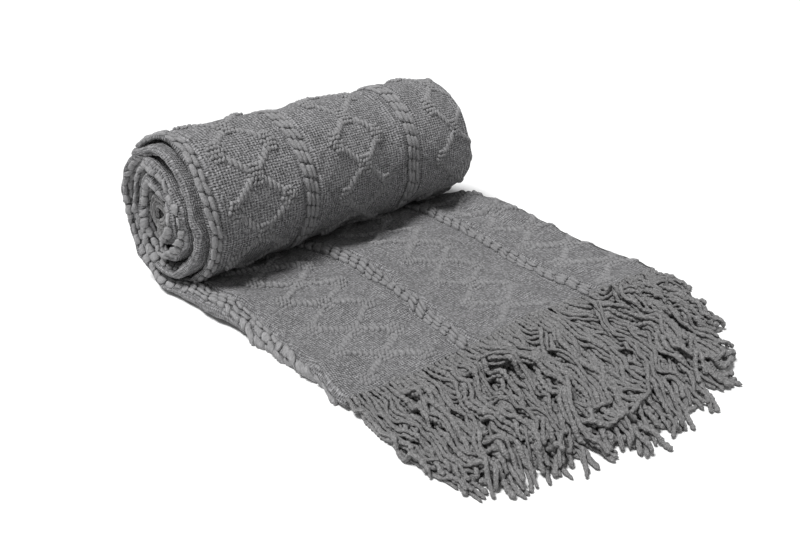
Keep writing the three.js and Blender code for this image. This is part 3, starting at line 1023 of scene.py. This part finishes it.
def yarn_tubes(curves, radii, rng, sides=8):
    """Soft two-ply yarn along every curve: lobes that turn round each other, with beads and slubs."""
    strands, rings, _ = curves.shape
    tangent = np.gradient(curves, axis=1)
    tangent /= np.linalg.norm(tangent, axis=2, keepdims=True)
    side = np.cross(tangent, [0.0, 0.0, 1.0])
    side /= np.maximum(np.linalg.norm(side, axis=2, keepdims=True), 1e-6)
    up = np.cross(side, tangent)
    hops = np.linalg.norm(np.diff(curves, axis=1), axis=2)
    distance = np.concatenate([np.zeros((strands, 1)), np.cumsum(hops, axis=1)], axis=1)
    phase = rng.uniform(0, 2 * math.pi, (strands, 1))
    angle = np.linspace(0, 2 * math.pi, sides, endpoint=False)
    turn = (distance * 2 * math.pi / PLY_TURN + phase)[..., None]
    lobes = 0.82 + 0.26 * np.abs(np.cos(angle - turn))
    slub = np.stack([distance, np.broadcast_to(phase, distance.shape) * 0.05], axis=-1)
    swing = np.clip(0.13 + 0.45 * (radii / radii.mean() - 1.0), 0.05, 0.28)[:, None]
    beads = swing * np.sin(2 * math.pi * distance / rng.uniform(*BEADS, (strands, 1)) + phase * 3)
    thick = 1.0 + beads + 0.15 * ripple(slub, 31, 0.014)
    left = distance[:, -1:] - distance
    tip = np.sqrt(np.clip(left / TIP_LENGTH, 0.10, 1.0))
    tip = tip * np.sqrt(np.clip(distance / ROOT_LENGTH + 0.45, 0.0, 1.0))
    radius = (radii[:, None] * thick * tip)[..., None] * lobes
    out, rise = (radius * np.cos(angle))[..., None], (radius * np.sin(angle))[..., None]
    points = (curves[:, :, None] + (side[:, :, None] * out + up[:, :, None] * rise)).reshape(-1, 3)
    girth = np.broadcast_to(angle * YARN / 2, radius.shape)
    length = np.broadcast_to((distance + phase)[..., None], radius.shape)
    uv = np.stack([girth, length], axis=-1).reshape(-1, 2)
    return points, tube_quads(strands, rings, sides)[:, ::-1], uv


def add_yarns(node, curves, radii, rng):
    """The yarns along the curves, kept off the table, in the place of one CAD bunch."""
    points, quads, uv = yarn_tubes(curves, radii, rng)
    points[:, 2] = np.maximum(points[:, 2], YARN_GAP)
    return add_piece(node + "_yarns", points, quads, FRINGE_GREY, [node], uv)


def loose_fringe():
    strands = Strands()
    curves = pile_up(strands)
    rng = np.random.default_rng(17)
    made = []
    for layer, (name, _, first, last, bunches) in enumerate(FRINGE_LAYERS):
        bunch = np.clip(((strands.root - first) / (last - first) * bunches).astype(int), 0, bunches - 1)
        for number in range(bunches):
            mine = (strands.layer == layer) & (bunch == number)
            node = f"fringe_{name}_{number + 1:02d}"
            made.append(add_yarns(node, curves[mine] + ORIGIN, strands.radius[mine], rng))
    return made


# ---- the fringe wound into the core ----

CORE_BUNCHES = 6
CORE_LEVELS = [-0.0017, 0.0019]  # two sheets of yarns, off the middle of their path
CORE_PAST_EDGE = 0.010
CORE_RINGS = 60
# the half ellipses of their path, as in half_wraps
CORE_HALVES = [
    (-1, 0.059, 0.107, 0.011),
    (1, 0.107, 0.068, 0.021),
    (-1, 0.068, 0.099, 0.008),
    (1, 0.099, 0.080, 0.012),
]


def core_fringe():
    path = WoundPath(CORE_HALVES)
    distance = np.linspace(0, path.length, 40)
    x, z, normal_x, normal_z = path.at(distance)
    rng = np.random.default_rng(41)
    width = (HIDDEN_EDGE - SET_BACK) / CORE_BUNCHES
    made = []
    for number in range(CORE_BUNCHES):
        low = SET_BACK + number * width - (CORE_PAST_EDGE if number == 0 else 0.0)
        high = SET_BACK + (number + 1) * width
        row = np.arange(low + YARN / 2, high - YARN / 2, YARN)
        roots = np.tile(row, len(CORE_LEVELS))
        level = np.repeat(CORE_LEVELS, len(row))
        sway = ripple(np.stack(np.broadcast_arrays(distance[None], roots[:, None] * 3), axis=-1), 42, 0.05)
        y = roots[:, None] + 0.0016 * sway
        taper = 1.0 - TAPER * y / STRIP_WIDTH
        n = level[:, None] + rng.normal(0, 0.0002, y.shape)
        curves = np.stack([(x + n * normal_x) * taper, y, (z + n * normal_z) * taper], axis=-1) + ORIGIN
        radii = np.full(len(roots), YARN / 2)
        made.append(add_yarns(f"fringe_core_{number + 1}", smooth_curve(curves, CORE_RINGS), radii, rng))
    return made


# ---- camera, light and floor ----

FLOOR_HALF, FLOOR_LEVEL = 40.0, -0.0004
CAMERA_TURN, CAMERA_RISE = math.radians(44.57), math.radians(25.21)
CAMERA_DISTANCE = 0.8075
CAMERA_TARGET = (0.2207, 0.130, 0.060)
CAMERA_LENS = 37.719


def stage():
    """A floor so wide that its edge is lost from the camera's view."""
    corners = [(x * FLOOR_HALF, y * FLOOR_HALF, 0) for x, y in ((-1, -1), (1, -1), (1, 1), (-1, 1))]
    mesh = bpy.data.meshes.new("floor")
    mesh.from_pydata(corners, [], [(0, 1, 2, 3)])
    floor = new_object("floor", mesh)
    floor.location.z = FLOOR_LEVEL
    material = bpy.data.materials.new("pale_floor")
    material.use_nodes = True
    shader = material.node_tree.nodes["Principled BSDF"]
    shader.inputs["Base Color"].default_value = (0.92, 0.92, 0.92, 1.0)
    shader.inputs["Roughness"].default_value = 0.9
    mesh.materials.append(material)


def sun(name, toward, softness, strength):
    data = bpy.data.lights.new(name, "SUN")
    data.angle = math.radians(softness)
    data.energy = strength
    new_object(name, data).rotation_euler = Vector(toward).to_track_quat("-Z", "Y").to_euler()


def lights():
    sun("overhead", (0.08, 0.42, -1.0), 18.0, 3.7)
    sun("fill", (-0.75, 0.65, -0.55), 60.0, 0.20)
    world = bpy.data.worlds.new("studio")
    world.use_nodes = True
    background = world.node_tree.nodes["Background"]
    background.inputs["Color"].default_value = (1.0, 1.0, 1.0, 1.0)
    background.inputs["Strength"].default_value = 0.22
    bpy.context.scene.world = world


def camera():
    target = Vector(ORIGIN) + Vector(CAMERA_TARGET)
    back = Vector((
        math.sin(CAMERA_TURN) * math.cos(CAMERA_RISE),
        -math.cos(CAMERA_TURN) * math.cos(CAMERA_RISE),
        math.sin(CAMERA_RISE),
    ))
    data = bpy.data.cameras.new("camera")
    data.sensor_width = 36.0
    data.lens = CAMERA_LENS
    made = new_object("camera", data)
    made.location = target + back * CAMERA_DISTANCE
    made.rotation_euler = (-back).to_track_quat("-Z", "Y").to_euler()
    bpy.context.scene.camera = made
    bpy.context.scene.view_settings.view_transform = "Standard"


camera()
lights()
stage()
cloth = woven_cloth()
trim = chain_columns() + diamonds() + loose_fringe() + core_fringe()
